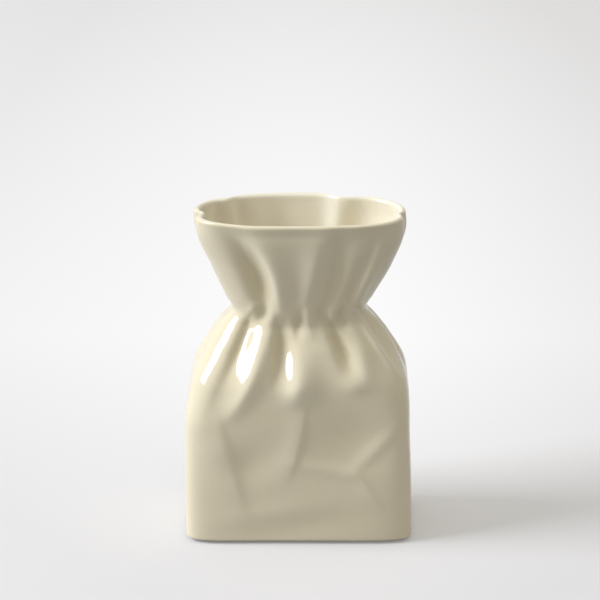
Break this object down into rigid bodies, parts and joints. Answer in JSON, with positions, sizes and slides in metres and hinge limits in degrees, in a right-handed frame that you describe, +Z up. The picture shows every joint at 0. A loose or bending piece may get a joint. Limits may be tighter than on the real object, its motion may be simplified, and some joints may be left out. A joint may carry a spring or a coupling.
{
  "type": "gathered bag vase",
  "caption": "Glazed ceramic flower vase shaped like a filled paper bag drawn in at the neck, with soft pleats, a flared wavy rim and silicone foot pads; holds cut stems and water.",
  "frame": {"origin": "on the table under the middle of the base, at the height of the pads' undersides", "axes": "+Z up through the mouth, X across the wide front, -Y out of the front with the bright pleats"},
  "size_m": [0.1449, 0.0845, 0.21],
  "materials": {
    "biscuit_clay": "unglazed fired clay",
    "cream_glaze": "glossy cream glaze",
    "clear_silicone": "satin clear silicone"
  },
  "bodies": {
    "root": {"clay_body": "biscuit_clay", "outer_glaze": "cream_glaze", "liner_glaze": "cream_glaze", "foot_pad_front_left": "clear_silicone", "foot_pad_front_right": "clear_silicone", "foot_pad_back_left": "clear_silicone", "foot_pad_back_right": "clear_silicone"}
  },
  "joints": []
}
